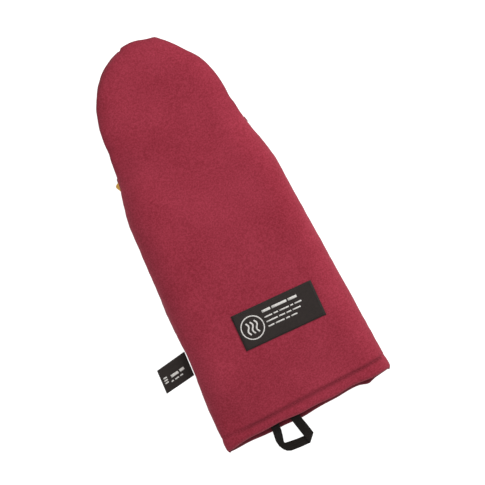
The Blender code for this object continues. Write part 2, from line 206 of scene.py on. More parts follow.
def mitt_rows(start_y):
    """Ribs from start_y to the tip; past the tip's centre they fan out."""
    rows = [Row(y, 1.0, 0.0, float(edge_reach(y))) for y in row_places(start_y)]
    for step in range(1, TIP_ROWS + 1):
        angle = math.pi / 2 * step / TIP_ROWS
        x, y = LOBE_REACH * math.cos(angle), TIP_LENGTH * math.sin(angle)
        reach = math.hypot(x, y)
        rows.append(Row(TIP_CENTRE, 0.0 if step == TIP_ROWS else x / reach, y / reach, reach))
    return rows


def column_steps():
    """Steps from the rim to the middle of a rib: angles round its shoulder, then shares of its flat."""
    rim = [("shoulder", math.pi / 2 * k / RIM_COLUMNS) for k in range(RIM_COLUMNS + 1)]
    flat = [("flat", 1 - k / FLAT_COLUMNS) for k in range(1, FLAT_COLUMNS + 1)]
    return rim + flat


COLUMNS = column_steps()


def rib_points(row, low, high, valley):
    """Half a rib from rim to middle: distances out, heights, and shares of any extra fullness."""
    share = (row.spine - WEB.y) / SHOULDER_CHANGE
    width = SHOULDER_HAND + (SHOULDER_LOBE - SHOULDER_HAND) * float(ease(share))
    width = min(width, row.reach * SHOULDER_MOST)
    points = []
    for kind, value in COLUMNS:
        fuller = value
        if kind == "shoulder":
            rise = math.sin(value) ** (2 / SHOULDER_POWER)
            out = row.reach - width * (1 - math.cos(value) ** (2 / SHOULDER_POWER))
            out -= valley * math.exp(-rise * VALLEY_FADE)
            fuller = float(ease(rise / FULL_FROM))
        else:
            rise = 1.0
            out = (row.reach - width) * value
        top = float(high(row.spine + row.along * out))
        points.append((out, low + (top - low) * rise, fuller))
    return points


def rib_row(row, low, high, side, valley, wide):
    """A whole rib's points, right edge to left edge. wide shifts the left edge out."""
    half = rib_points(row, low, high, valley)
    right = [(row.across * out, row.spine + row.along * out, MIDDLE + side * z) for out, z, _ in half]
    left = []
    for out, z, fuller in half:
        x = -row.across * (out + wide * fuller)
        left.append((x, row.spine + row.along * out, MIDDLE + side * z))
    return right + left[::-1][1:]


def left_bulge(row, side):
    """How much fuller the palm is cut, so that its left edge and the thumb's tip peek out."""
    if side > 0:
        return 0.0
    y = row.spine + row.along * row.reach
    hand = PALM_FULLER_HAND * float(ease((y - CUFF_Y - 0.004) / 0.03) * ease((CUFF_Y + 0.190 - y) / 0.06))
    hand *= 1 - math.exp(-(((y - FLAG_AXIS.y) / 0.030) ** 2))
    tip = PALM_FULLER_TIP * float(ease((y - TIP_CENTRE - 0.03) / 0.03))
    return hand + tip


def facet_tip(grid, side):
    """The sewn tip isn't a clean arc: it has a corner right of its end, a flat beside it, and a step."""
    x, y = grid[..., 0], grid[..., 1] - TIP_CENTRE
    angle = np.degrees(np.arctan2(y, x))
    flat = sum(hump(angle, *place) for place in TIP_FLATS)
    corner = hump(angle, *TIP_CORNER)
    cut = TIP_STEP if side > 0 else -TIP_STEP
    step = cut * ease((angle - TIP_STEP_START) / 3) * (1 - ease((angle - TIP_STEP_END) / 34))
    share = ease(np.hypot(x, y) / TIP_FACET_REACH) * (y > 0)
    scale = 1 - (flat - corner + step) * share
    moved = grid.copy()
    moved[..., 0] = x * scale
    moved[..., 1] = TIP_CENTRE + y * scale
    return moved


def wall_rows(side):
    """The outer surface of the back or the palm, from the cuff edge to the tip."""
    rows = []
    for row in mitt_rows(CUFF_Y + WALL * 0.5):
        low = float(rim_height(row.spine + row.along * row.reach)) + RIM_GAP
        wide = left_bulge(row, side)
        rows.append(rib_row(row, low, lambda y: crown_height(y, side), side, SEAM_VALLEY, wide))
    grid = facet_tip(np.array(rows), side)
    nook = hump(grid[..., 1], FLAG_NOOK, FLAG_AXIS.y, FLAG_NOOK_LENGTH)
    nook *= ease((-grid[..., 0] - 0.06) / 0.02)
    nook *= 1 - ease((np.abs(grid[..., 2] - MIDDLE) - 0.003) / 0.010)
    grid[..., 0] += nook
    if side > 0:
        for x, y, reach, depth in DENTS:
            away = np.hypot(grid[..., 0] - x, grid[..., 1] - y)
            grid[..., 2] -= hump(away, depth, 0, reach) * ease((grid[..., 2] - MIDDLE) / 0.018)
    return grid


def mouth_height(y):
    """How far a mouth face keeps from the middle plane: nothing at the web, then room for the web guard."""
    return MOUTH_PLANE * float(ease((y - WEB.y) / 0.006)) + RIM_GAP


def mouth_rows(side):
    """The mouth face of a lobe, from the crease at the web to the tip."""
    rows = []
    for row in mitt_rows(WEB.y):
        low = float(rim_height(row.spine + row.along * row.reach)) - RIM_GAP
        rows.append(rib_row(row, low, mouth_height, side, SEAM_VALLEY, left_bulge(row, side)))
    return facet_tip(np.array(rows), side)


def normals_of(grid):
    """Unit normals of a grid of points, by central differences."""
    along = np.gradient(grid, axis=0)
    across = np.gradient(grid, axis=1)
    normal = np.cross(along, across)
    length = np.linalg.norm(normal, axis=2, keepdims=True)
    normal = normal / np.maximum(length, 1e-12)
    normal[-1] += normal[-1, ::-1]
    far = ease(np.hypot(grid[..., 0], grid[..., 1] - TIP_CENTRE) / POLE_REACH)[..., None]
    normal = normal * far + np.array([0.0, 0.0, 1.0]) * (1 - far)
    return normal / np.linalg.norm(normal, axis=2, keepdims=True)


def inward_of(grid, face_out):
    """Unit vectors into the wall."""
    normal = normals_of(grid)
    return -normal * np.sign((normal[..., 2] * face_out).sum() or 1)


def cloth_noise(grid, scale, seed):
    """Smooth noise over a grid of points, -1 to 1."""
    offset = Vector((seed * 7.31, seed * 3.17, seed * 1.73))
    flat = grid.reshape(-1, 3)
    values = [noise.noise(Vector(point) / scale + offset) for point in flat]
    return np.array(values).reshape(grid.shape[:2])


def rim_distance(grid):
    """Distance of each grid point from the nearer rim, measured along its rib."""
    steps = np.linalg.norm(np.diff(grid, axis=1), axis=2)
    from_right = np.concatenate([np.zeros((len(grid), 1)), np.cumsum(steps, axis=1)], axis=1)
    total = from_right[:, -1:]
    return np.minimum(from_right, total - from_right)


def rumple(grid, side, seed, most):
    """Adds the soft unevenness of padding and the small puckers along the seams."""
    rim = rim_distance(grid)
    inner = ease(rim / 0.02)
    swell = cloth_noise(grid, 0.055, seed) * 0.8 + cloth_noise(grid, 0.022, seed + 1) * 0.35
    pucker = cloth_noise(grid * np.array([1.0, 1.0, 0.3]), PUCKER_SCALE, seed + 2)
    shift = most * swell * inner + pucker * hump(rim, PUCKER_DEPTH, 0.006, 0.006)
    moved = grid - inward_of(grid, side) * shift[..., None]
    moved[..., 2] = np.clip(moved[..., 2], TABLE_GAP, None)
    return moved


def deepen(grid, depth, face_out):
    """The same surface, deeper in the wall; the layers come together at the seams."""
    share = LAYERS_AT_SEAM + (1 - LAYERS_AT_SEAM) * ease(rim_distance(grid) / SEAM_THINNING)
    return grid + inward_of(grid, face_out) * (depth * share)[..., None]


def mesh_from_grid(name, grid, flip):
    """A surface from rows of points, welded where the rows run together."""
    rows, columns = grid.shape[:2]
    mesh = bpy.data.meshes.new(name)
    index = np.arange(rows * columns).reshape(rows, columns)
    corners = [index[:-1, :-1], index[:-1, 1:], index[1:, 1:], index[1:, :-1]]
    quads = np.stack(corners, axis=-1).reshape(-1, 4)
    if flip:
        quads = quads[:, ::-1]
    mesh.from_pydata(grid.reshape(-1, 3).tolist(), [], quads.tolist())
    shape = bmesh.new()
    shape.from_mesh(mesh)
    bmesh.ops.remove_doubles(shape, verts=shape.verts[:], dist=1e-6)
    shape.to_mesh(mesh)
    shape.free()
    mesh.shade_smooth()
    obj = bpy.data.objects.new(name, mesh)
    bpy.context.scene.collection.objects.link(obj)
    return obj


def thicken(obj, thickness, offset=-1.0):
    """Gives a surface its cloth's thickness, under it or, with an offset, over or round it."""
    cloth = obj.modifiers.new("Cloth", "SOLIDIFY")
    cloth.thickness = thickness
    cloth.offset = offset
    return obj


# The cuff: its turned hem, its stitched groove, and how its edges run
HEM_FOLD = WALL / 2
HEM_TURNS = 8
HEM_GROOVE = 0.0009
HEM_GROOVE_WIDTH = 0.0017
HEM_SWELL = 0.0006
PALM_PROUD = 0.0040
BACK_SHY = 0.0036
CUFF_SKEW = 0.026
CUFF_FADE = 0.11
LONG_WAVE = 0.0006
LONG_WAVE_RATE = 62
SHORT_WAVE = 0.0004
SHORT_WAVE_RATE = 171
CUFF_CORNER_POWER = 8
# Depth or share, middle and spread of the pucker in the palm's edge and of the gapes in the back's
CUFF_PUCKER = (0.0022, 0.061, 0.0055)
CUFF_LEAST_GAPE = 0.25
CUFF_GAPES = ((1.0, -0.048, 0.040), (0.45, 0.048, 0.020))


def groove(grid, side):
    """Presses the hem's stitch line into the outside of the cuff."""
    depth = hump(grid[..., 1], HEM_GROOVE, CUFF_Y + HEM_DEPTH, HEM_GROOVE_WIDTH)
    band = (grid[..., 1] - CUFF_Y) / HEM_DEPTH
    depth -= HEM_SWELL * np.clip(np.sin(np.pi * np.clip(band, 0, 1)), 0, 1)
    depth *= ease(rim_distance(grid) / 0.006)
    moved = grid + inward_of(grid, side) * depth[..., None]
    moved[..., 2] = np.clip(moved[..., 2], TABLE_GAP, None)
    return moved


def with_hem(grid, side):
    """Turns the cover in over the cuff edge, and runs it down the inside of the wall."""
    edge = grid[0]
    inward = inward_of(grid[:3], side)[0]
    thinning = ease(rim_distance(grid[:2])[0] / SEAM_THINNING)
    share = (HEM_AT_SEAM + (1 - HEM_AT_SEAM) * thinning)[:, None]
    turned = []
    for angle in np.linspace(0, math.pi, HEM_TURNS + 1)[1:]:
        step = edge + inward * share * HEM_FOLD * (1 - math.cos(angle))
        step = step - np.array([0, HEM_FOLD * math.sin(angle), 0])
        turned.append(step)
    inner_edge = turned[-1]
    for y in np.linspace(0, HEM_DEPTH - HEM_FOLD, HEM_TURNS)[1:]:
        turned.append(inner_edge + np.array([0, y, 0]))
    return np.concatenate([np.array(turned)[::-1], grid])


def cuff_shape(points, side):
    """The cuff edge isn't quite square, waves a little, and the palm side shows past the back."""
    near = 1 - ease((points[..., 1] - CUFF_Y) / CUFF_FADE)
    wave = LONG_WAVE * np.sin(points[..., 0] * LONG_WAVE_RATE + side)
    wave += SHORT_WAVE * np.sin(points[..., 0] * SHORT_WAVE_RATE)
    shift = CUFF_SKEW * points[..., 0] + wave
    open_share = np.clip(1 - (points[..., 0] / CUFF_REACH) ** CUFF_CORNER_POWER, 0, 1)
    moved = points.copy()
    moved[..., 1] += near * shift
    if side < 0:
        pucker = hump(points[..., 0], *CUFF_PUCKER)
        moved[..., 1] -= near * (PALM_PROUD * open_share + pucker)
    else:
        hem = 1 - ease((points[..., 1] - CUFF_Y) / HEM_DEPTH)
        gape = CUFF_LEAST_GAPE + sum(hump(points[..., 0], *place) for place in CUFF_GAPES)
        moved[..., 1] += BACK_SHY * hem * open_share * gape
    return moved


# Materials

def srgb(red, green, blue):
    """Linear colour from 0 to 255 values."""
    shares = (red / 255, green / 255, blue / 255)
    return tuple(((c + 0.055) / 1.055) ** 2.4 if c > 0.04 else c / 12.92 for c in shares)


class Shader:
    """A short way to write a procedural material."""

    def __init__(self, name, roughness, sheen=0.0, specular=0.35):
        self.material = bpy.data.materials.new(name)
        self.material.use_nodes = True
        self.nodes = self.material.node_tree.nodes
        self.links = self.material.node_tree.links
        self.surface = self.nodes["Principled BSDF"]
        self.surface.inputs["Roughness"].default_value = roughness
        self.surface.inputs["Specular IOR Level"].default_value = specular
        self.surface.inputs["Sheen Weight"].default_value = sheen
        self.surface.inputs["Sheen Roughness"].default_value = 0.5
        self.place = self.nodes.new("ShaderNodeTexCoord").outputs["Object"]

    def node(self, kind, **settings):
        made = self.nodes.new(kind)
        for key, value in settings.items():
            setattr(made, key, value)
        return made

    def feed(self, socket, value):
        if isinstance(value, bpy.types.NodeSocket):
            self.links.new(value, socket)
        else:
            socket.default_value = value

    def noise(self, scale, detail=3.0):
        made = self.node("ShaderNodeTexNoise")
        self.feed(made.inputs["Vector"], self.place)
        made.inputs["Scale"].default_value = scale
        made.inputs["Detail"].default_value = detail
        made.inputs["Roughness"].default_value = 0.55
        return made.outputs["Fac"]

    def wave(self, pitch, direction, distortion):
        made = self.node("ShaderNodeTexWave", wave_type="BANDS", bands_direction=direction)
        self.feed(made.inputs["Vector"], self.place)
        made.inputs["Scale"].default_value = 0.314 / pitch
        made.inputs["Distortion"].default_value = distortion
        made.inputs["Detail"].default_value = 1.0
        return made.outputs["Fac"]

    def maths(self, operation, first, second):
        made = self.node("ShaderNodeMath", operation=operation)
        self.feed(made.inputs[0], first)
        self.feed(made.inputs[1], second)
        return made.outputs[0]

    def weighed(self, first, first_share, second, second_share):
        """The sum of two values, each times its share."""
        one = self.maths("MULTIPLY", first, first_share)
        other = self.maths("MULTIPLY", second, second_share)
        return self.maths("ADD", one, other)

    def ranged(self, value, low, high, new_low=0.0, new_high=1.0):
        made = self.node("ShaderNodeMapRange")
        self.feed(made.inputs["Value"], value)
        for key, number in zip(("From Min", "From Max", "To Min", "To Max"), (low, high, new_low, new_high)):
            made.inputs[key].default_value = number
        return made.outputs[0]

    def mix(self, share, first, second):
        made = self.node("ShaderNodeMix", data_type="RGBA")
        self.feed(made.inputs[0], share)
        for socket, value in ((made.inputs[6], first), (made.inputs[7], second)):
            self.feed(socket, (*value, 1) if isinstance(value, tuple) and len(value) == 3 else value)
        return made.outputs[2]

    def attribute(self, name):
        made = self.node("ShaderNodeAttribute", attribute_name=name)
        return made.outputs["Fac"]

    def bump(self, height, distance, strength=1.0, under=None):
        made = self.node("ShaderNodeBump")
        made.inputs["Strength"].default_value = strength
        made.inputs["Distance"].default_value = distance
        self.feed(made.inputs["Height"], height)
        if under is not None:
            self.feed(made.inputs["Normal"], under)
        return made.outputs["Normal"]

    def finish(self, colour, normal=None, rough=None):
        self.feed(self.surface.inputs["Base Color"], colour)
        if normal is not None:
            self.feed(self.surface.inputs["Normal"], normal)
        if rough is not None:
            self.feed(self.surface.inputs["Roughness"], rough)
        return self.material


def weave(shader, pitch):
    """A plain weave's height: warp and weft passing over and under each other."""
    warp = shader.wave(pitch, "X", 0.6)
    weft = shader.wave(pitch, "Y", 0.6)
    return shader.maths("ADD", shader.maths("MULTIPLY", warp, weft), shader.maths("MAXIMUM", warp, weft))


def canvas_material(name, light, dark, painted_shade):
    """Cotton canvas: plain weave, heathered yarns, soft blotches, and painted shade in the seams, the hem's
    groove and the palm's turned hem.
    """
    shader = Shader(name, 0.9, sheen=0.06, specular=0.12)
    yarn = shader.ranged(shader.noise(1300, 2.0), 0.34, 0.66)
    slub = shader.ranged(shader.noise(640, 2.0), 0.37, 0.63)
    cloud = shader.ranged(shader.noise(22, 5.0), 0.30, 0.72)
    heather = shader.weighed(yarn, 0.4, slub, 0.6)
    tone = shader.weighed(heather, 0.7, cloud, 0.3)
    colour = shader.mix(tone, dark, light)
    # Painted shade: the crease attribute darkens the cloth towards the painted shade colour
    crease = shader.attribute("crease")
    colour = shader.mix(shader.maths("MULTIPLY", crease, 0.85), colour, painted_shade)
    height = weave(shader, 0.00085)
    fine = shader.bump(height, 0.00016, 0.55)
    soft = shader.bump(shader.noise(140, 3.0), 0.0005, 0.35, fine)
    rough = shader.ranged(heather, 0.0, 1.0, 0.80, 0.93)
    return shader.finish(colour, soft, rough)


def liner_material():
    """Unbleached cotton twill with its diagonal rib."""
    shader = Shader("cotton_twill", 0.9, sheen=0.15, specular=0.2)
    rib = shader.wave(0.0009, "DIAGONAL", 0.8)
    tone = shader.weighed(shader.noise(300), 0.6, rib, 0.25)
    colour = shader.mix(tone, srgb(150, 140, 120), srgb(196, 188, 168))
    return shader.finish(colour, shader.bump(rib, 0.0002, 0.6))


def batting_material():
    shader = Shader("cotton_batting", 1.0, sheen=0.3, specular=0.1)
    fluff = shader.noise(240, 8.0)
    colour = shader.mix(fluff, srgb(205, 195, 172), srgb(240, 235, 220))
    return shader.finish(colour, shader.bump(fluff, 0.0012, 0.7))


def barrier_material():
    shader = Shader("barrier_film", 0.38, specular=0.5)
    crinkle = shader.noise(120, 6.0)
    colour = shader.mix(crinkle, srgb(150, 158, 162), srgb(186, 192, 194))
    return shader.finish(colour, shader.bump(crinkle, 0.0006, 0.5))


def guard_material():
    """Yellow aramid knit: rows of small loops."""
    shader = Shader("aramid_knit", 0.8, sheen=0.2, specular=0.3)
    rows = shader.wave(0.0012, "Y", 1.2)
    loops = shader.wave(0.0010, "X", 1.6)
    knit = shader.maths("MULTIPLY", rows, loops)
    tone = shader.weighed(knit, 0.5, shader.noise(180), 0.5)
    colour = shader.mix(tone, srgb(214, 158, 62), srgb(246, 204, 112))
    return shader.finish(colour, shader.bump(knit, 0.0003, 0.7))


def label_material():
    """Damask label: fine satin rows in near black."""
    shader = Shader("woven_label_black", 0.68, sheen=0.04, specular=0.22)
    rows = shader.wave(0.00045, "Y", 0.3)
    tone = shader.weighed(rows, 0.4, shader.noise(400), 0.6)
    colour = shader.mix(tone, srgb(20, 14, 12), srgb(42, 34, 31))
    return shader.finish(colour, shader.bump(rows, 0.0001, 0.5))


def print_material():
    """The pale figure yarn of a woven label."""
    shader = Shader("label_figure_yarn", 0.7, sheen=0.1, specular=0.3)
    rows = shader.wave(0.00045, "Y", 0.3)
    colour = shader.mix(rows, srgb(168, 164, 160), srgb(214, 211, 207))
    return shader.finish(colour, shader.bump(rows, 0.0001, 0.5))


def webbing_material():
    """Black tape with diagonal ribs."""
    shader = Shader("black_tape", 0.80, sheen=0.03, specular=0.14)
    rib = shader.wave(0.0011, "DIAGONAL", 0.5)
    tone = shader.weighed(rib, 0.5, shader.noise(350), 0.5)
    colour = shader.mix(tone, srgb(10, 7, 6), srgb(34, 29, 26))
    return shader.finish(colour, shader.bump(rib, 0.00025, 0.7))


def thread_material(name, dark, light):
    """Two-ply sewing thread."""
    shader = Shader(name, 0.75, sheen=0.03, specular=0.2)
    twist = shader.wave(0.0006, "DIAGONAL", 0.4)
    return shader.finish(shader.mix(twist, dark, light), shader.bump(twist, 0.0001, 0.6))


MATERIALS = {
    # The canvas's third colour is the painted shade for the seams, the hem's groove and the palm's turned hem
    "canvas": canvas_material("red_canvas", srgb(150, 50, 67), srgb(112, 22, 36), srgb(64, 12, 20)),
    "liner": liner_material(),
    "batting": batting_material(),
    "barrier": barrier_material(),
    "guard": guard_material(),
    "label": label_material(),
    "figure": print_material(),
    "webbing": webbing_material(),
    "red_thread": thread_material("red_thread", srgb(104, 24, 38), srgb(150, 44, 60)),
    "black_thread": thread_material("black_thread", srgb(20, 18, 18), srgb(52, 48, 46)),
}


def dress(obj, material, slot):
    """Gives a piece its material. Its slot argument is not used."""
    obj.data.materials.clear()
    obj.data.materials.append(MATERIALS[material])
    return obj


def mark_crease(obj, values):
    """Stores how deep in a seam or crease each point of the cloth is, which sets how much painted shade it
    gets.
    """
    layer = obj.data.attributes.new("crease", "FLOAT", "POINT")
    layer.data.foreach_set("value", values.astype(np.float32))


# Painted shade: how dark the cloth is painted in the seams, the hem's groove and the palm's turned hem, where
# shade falls, and how far that reaches
SEAM_SHADE_REACH = 0.0026
HEM_SHADE = 0.55
HEM_SHADE_WIDTH = 0.0021
HEM_SHADE_LEFT = -0.082
HEM_SHADE_FADE = 0.030
HEM_SHADE_MIN_HEIGHT = 0.009
TURNED_SHADE = 0.75
TURNED_FROM = WALL * 0.45


def crease_shade_share(obj, side):
    """How much painted shade each point gets: from 0 on open cloth to 1 in a seam, and between them in the
    hem's groove and the palm's turned hem.
    """
    points = np.array([vertex.co for vertex in obj.data.vertices])
    reach = edge_reach(points[:, 1])
    above = np.abs(points[:, 2] - MIDDLE) - rim_height(points[:, 1])
    past_tip = np.clip(points[:, 1] - TIP_CENTRE, 0, None) * LOBE_REACH / TIP_LENGTH
    round_tip = LOBE_REACH - np.hypot(points[:, 0], past_tip)
    inside = np.where(points[:, 1] > TIP_CENTRE, round_tip, reach - np.abs(points[:, 0]))
    seam = np.exp(-np.hypot(above, np.clip(inside, 0, None)) / SEAM_SHADE_REACH)
    along = points[:, 1] - CUFF_SKEW * points[:, 0]
    hem = hump(along, HEM_SHADE, CUFF_Y + HEM_DEPTH, HEM_SHADE_WIDTH)
    hem *= ease((points[:, 0] - HEM_SHADE_LEFT) / HEM_SHADE_FADE)
    hem *= np.abs(points[:, 2] - MIDDLE) > HEM_SHADE_MIN_HEIGHT
    # Painted shade inside the palm's turned hem, where it lies under the back's edge
    palm_hem = (points[:, 1] < CUFF_Y + HEM_DEPTH) * (side < 0)
    raised = ease((points[:, 2] - TURNED_FROM) / TURNED_FROM) * ease((MIDDLE - points[:, 2]) / 0.004)
    turned = TURNED_SHADE * palm_hem * raised
    return np.clip(seam + hem + turned, 0, 1)


# Each layer's depth under the wall's surface and its thickness, from the outside in
WALL_LAYERS = (
    ("cover", 0.0, CANVAS),
    ("batting", 0.0013, 0.0043),
    ("barrier", 0.0060, 0.0003),
    ("liner", 0.0066, 0.0007),
)
MOUTH_LAYERS = (
    ("cover", 0.0, CANVAS),
    ("batting", 0.0013, 0.0023),
    ("liner", 0.0040, 0.0007),
)
LAYER_DRESS = {
    "cover": ("canvas", "red_canvas"),
    "batting": ("batting", "batting"),
    "barrier": ("barrier", "barrier_film"),
    "liner": ("liner", "cotton_liner"),
}
INNER_ROW_STEP = 3
WALL_INSET = 3
MOUTH_INSET = 7


def bend(obj):
    """Bakes the cloth's placement into its mesh."""
    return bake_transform(obj)


def thin_rows(grid, inset):
    """Fewer ribs and columns, for layers that stay inside; inset leaves out columns next to the rims."""
    tip = len(grid) - TIP_ROWS - 1
    rows = sorted({*range(0, tip, INNER_ROW_STEP), *range(tip, len(grid))})
    last = grid.shape[1] - 1 - inset
    columns = sorted({*range(inset, last, 2), last, grid.shape[1] // 2})
    return grid[rows][:, columns]


def lined(outer, inner):
    """A layer with its own inner face: out over one face, then back under the other."""
    return np.concatenate([outer, inner[:, ::-1], outer[:, :1]], axis=1)


def inner_surface(outer, face_out, layer, depth, thickness, inset):
    """The surface of a layer inside; batting is closed, so it gets its far face too."""
    near = thin_rows(deepen(outer, depth, face_out), inset)
    if layer != "batting":
        return near
    return lined(near, thin_rows(deepen(outer, depth + thickness, face_out), inset))


def finish_layer(obj, layer, thickness, side):
    """Gives a layer its crease marks, thickness and material, and bakes its placement."""
    if layer == "cover":
        # The cover's crease values set its painted shade
        mark_crease(obj, crease_shade_share(obj, side))
    if layer != "batting":
        thicken(obj, thickness)
    dress(obj, *LAYER_DRESS[layer])
    bend(obj)


def make_wall(prefix, part, side, seed):
    """One whole wall of the mitt, cuff to tip: cover with its turned hem, batting, barrier and liner.

    Gives back the wall's outer surface and its cover.
    """
    swell = BACK_SWELL if side > 0 else PALM_SWELL
    outer = groove(rumple(wall_rows(side), side, seed, swell), side)
    cover = None
    for layer, depth, thickness in WALL_LAYERS:
        nodes = [f"{prefix}_{layer}", f"{part}_{layer}"]
        if layer == "cover":
            surface = with_hem(outer, side)
            nodes.append(f"{prefix}_hem")
        else:
            surface = inner_surface(outer, side, layer, depth, thickness, WALL_INSET)
        obj = mesh_from_grid(f"{prefix}_{layer}_cloth", cuff_shape(surface, side), side > 0)
        finish_layer(obj, layer, thickness, side)
        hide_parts(*nodes)
        cover = cover or obj
    return outer, cover


def make_mouth(part, side, seed):
    """The mouth face of a lobe, from the crease at the web round to the tip: cover, batting and liner."""
    outer = rumple(mouth_rows(side), -side, seed, MOUTH_SWELL)
    outer[..., 2] = MIDDLE + side * np.maximum(side * (outer[..., 2] - MIDDLE), 0.0001)
    for layer, depth, thickness in MOUTH_LAYERS:
        nodes = [f"{part}_mouth_{layer}"]
        surface = outer
        if layer == "cover" and side > 0:
            nodes.append("mouth_fold")
        if layer != "cover":
            surface = inner_surface(outer, -side, layer, depth, thickness, MOUTH_INSET)
        obj = mesh_from_grid(f"{part}_mouth_{layer}_cloth", surface, side < 0)
        finish_layer(obj, layer, thickness, side)
        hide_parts(*nodes)


BACK, BACK_COVER = make_wall("back", "finger", 1, 11)
PALM = make_wall("palm", "thumb", -1, 23)[0]
make_mouth("finger", 1, 31)
make_mouth("thumb", -1, 37)


# Trim

def strand(name, points, radius, sides=6):
    """A round thread through the points, as a mesh."""
    points = np.asarray(points, float)
    shape = bmesh.new()
    add_strand(shape, points, radius, sides)
    return finish_shape(name, shape)


def add_strand(shape, points, radius, sides=6):
    """Adds a closed tube through the points."""
    along = np.gradient(points, axis=0)
    rings = []
    for place, ahead in zip(points, along):
        ahead = Vector(ahead).normalized()
        across = ahead.cross(Vector((0, 0, 1)))
        across = across.normalized() if across.length > 1e-6 else Vector((1, 0, 0))
        above = across.cross(ahead)
        ring = []
        for k in range(sides):
            angle = 2 * math.pi * k / sides
            spot = Vector(place) + across * (radius * math.cos(angle)) + above * (radius * math.sin(angle))
            ring.append(shape.verts.new(spot))
        rings.append(ring)
    for ring, following in zip(rings, rings[1:]):
        for k in range(sides):
            shape.faces.new((ring[k], ring[(k + 1) % sides], following[(k + 1) % sides], following[k]))
    shape.faces.new(rings[0][::-1])
    shape.faces.new(rings[-1])


def finish_shape(name, shape):
    """Makes an object of a finished shape."""
    bmesh.ops.recalc_face_normals(shape, faces=shape.faces[:])
    mesh = bpy.data.meshes.new(name)
    shape.to_mesh(mesh)
    shape.free()
    mesh.shade_smooth()
    obj = bpy.data.objects.new(name, mesh)
    bpy.context.scene.collection.objects.link(obj)
    return obj


def along_line(points, step):
    """Evenly spaced places along a polyline."""
    points = np.asarray(points, float)
    lengths = np.concatenate([[0], np.cumsum(np.linalg.norm(np.diff(points, axis=0), axis=1))])
    count = max(2, int(lengths[-1] / step))
    spots = np.linspace(0, lengths[-1], count + 1)
    return np.stack([np.interp(spots, lengths, points[:, k]) for k in range(3)], axis=-1)


def stitches(name, points, pitch, gap, radius):
    """A row of short stitches: small arcs that dip into the cloth at both ends."""
    spots = along_line(points, pitch / 6)
    shape = bmesh.new()
    used = int(round(6 * (1 - gap)))
    for start in range(0, len(spots) - used, 6):
        run = spots[start:start + used + 1].copy()
        bow = np.sin(np.linspace(0, math.pi, len(run)))
        run[:, 2] += radius * (bow - 0.6) * STITCH_SIDE[name]
        add_strand(shape, run, radius, 5)
    return finish_shape(name, shape)


# Which way each row of stitches bows out of the cloth
STITCH_SIDE = {"back_hem_stitches": 1, "palm_hem_stitches": -1, "label_stitches": 1}
SEAM_THREAD = 0.0004
SEAM_INSET = 0.0002
SEAM_DROP = 0.0003
HEM_STITCH_PITCH = 0.0034
HEM_STITCH_GAP = 0.3
HEM_THREAD = 0.00024
LABEL_STITCH_PITCH = 0.0026
LABEL_STITCH_GAP = 0.2
LABEL_THREAD = 0.00022


def first_lobe_row(grid):
    """The first rib past the web."""
    return int(np.argmax(grid[:, 0, 1] > WEB.y))


def seam_line(grid, inset):
    """Both rims of a wall, moved a little way in."""
    moved = grid[:, [0, -1]].copy()
    moved[..., 0] -= np.sign(moved[..., 0]) * inset
    return moved


def make_seams():
    """The sewn lines down both sides of the hand and round each lobe."""
    rims = cuff_shape(seam_line(BACK, SEAM_INSET), 1)
    split = first_lobe_row(BACK)
    for name, column in (("right_side_seam", 0), ("left_side_seam", 1)):
        run = rims[2:split + 1:2, column].copy()
        run[:, 2] = MIDDLE
        obj = dress(strand(f"{name}_line", run, SEAM_THREAD), "red_thread", "red_thread")
        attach(obj, "hand")
        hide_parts(name)
    for lobe, grid, side in (("finger", BACK, 1), ("thumb", PALM, -1)):
        rims = seam_line(grid, SEAM_INSET)[split:]
        run = np.concatenate([rims[:, 0], rims[::-1, 1]])
        run[:, 2] -= side * SEAM_DROP
        obj = dress(strand(f"{lobe}_seam_line", run, SEAM_THREAD), "red_thread", "red_thread")
        bend(obj)
        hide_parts(f"{lobe}_seam")


def make_hem_stitches(prefix, grid, side):
    """The hem's stitch row, seen outside in its crease."""
    row = int(np.argmin(np.abs(grid[:, grid.shape[1] // 2, 1] - CUFF_Y - HEM_DEPTH)))
    line = cuff_shape(grid[row:row + 1, 4:-9], side)[0]
    obj = stitches(f"{prefix}_hem_stitches", line, HEM_STITCH_PITCH, HEM_STITCH_GAP, HEM_THREAD)
    dress(obj, "red_thread", "red_thread")
    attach(obj, "hand")
    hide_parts(f"{prefix}_hem_stitch")


GUARD_REACH = 0.045
GUARD_CORNER = 0.020
GUARD_CLOTH = 0.0006
GUARD_INSET = 0.0125
GUARD_BEHIND_WEB = 0.0060
GUARD_TAB = (0.0042, -0.0002, 0.0045)


def make_guard(node, side):
    """One flap of the knitted web guard, sewn in at the crease; its left edge shows at the mouth's corner."""
    rows = []
    near = np.linspace(-GUARD_BEHIND_WEB, 0.012, 18)
    far = np.linspace(0.012, GUARD_REACH, 18)[1:]
    for y in np.concatenate([near, far]):
        half = float(edge_reach(WEB.y + y)) - GUARD_INSET * float(ease(y / 0.010))
        corner = max(0.0, y - (GUARD_REACH - GUARD_CORNER))
        half -= GUARD_CORNER - math.sqrt(max(GUARD_CORNER ** 2 - corner ** 2, 0))
        tab = hump(y, *GUARD_TAB)
        rise = 0.0001 + mouth_height(WEB.y + y) * 0.55
        xs = np.linspace(half - 0.002, -half - tab + 0.0012, 40)
        rows.append([(x, WEB.y + y, MIDDLE + side * rise) for x in xs])
    obj = mesh_from_grid(f"{node}_cloth", np.array(rows), side < 0)
    thicken(obj, GUARD_CLOTH, 0.0)
    dress(obj, "guard", "yellow_web_guard")
    bend(obj)
    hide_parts(node, *(["web_guard_fold"] if side > 0 else []))


PATCH_LOW, PATCH_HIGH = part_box("label_patch")
PATCH_CENTRE = (PATCH_LOW + PATCH_HIGH) / 2
PATCH_TURN = math.radians(-1.3)
PATCH_LENGTH = 0.081
PATCH_WIDTH = 0.035
PATCH_CLOTH = 0.0005
PATCH_LIFT = 0.0002
PATCH_BORDER = 0.0018


def surface_tree(obj):
    """A tree of the cloth's own surface, without its thickness."""
    places = [vertex.co.copy() for vertex in obj.data.vertices]
    faces = [list(face.vertices) for face in obj.data.polygons]
    return BVHTree.FromPolygons(places, faces)


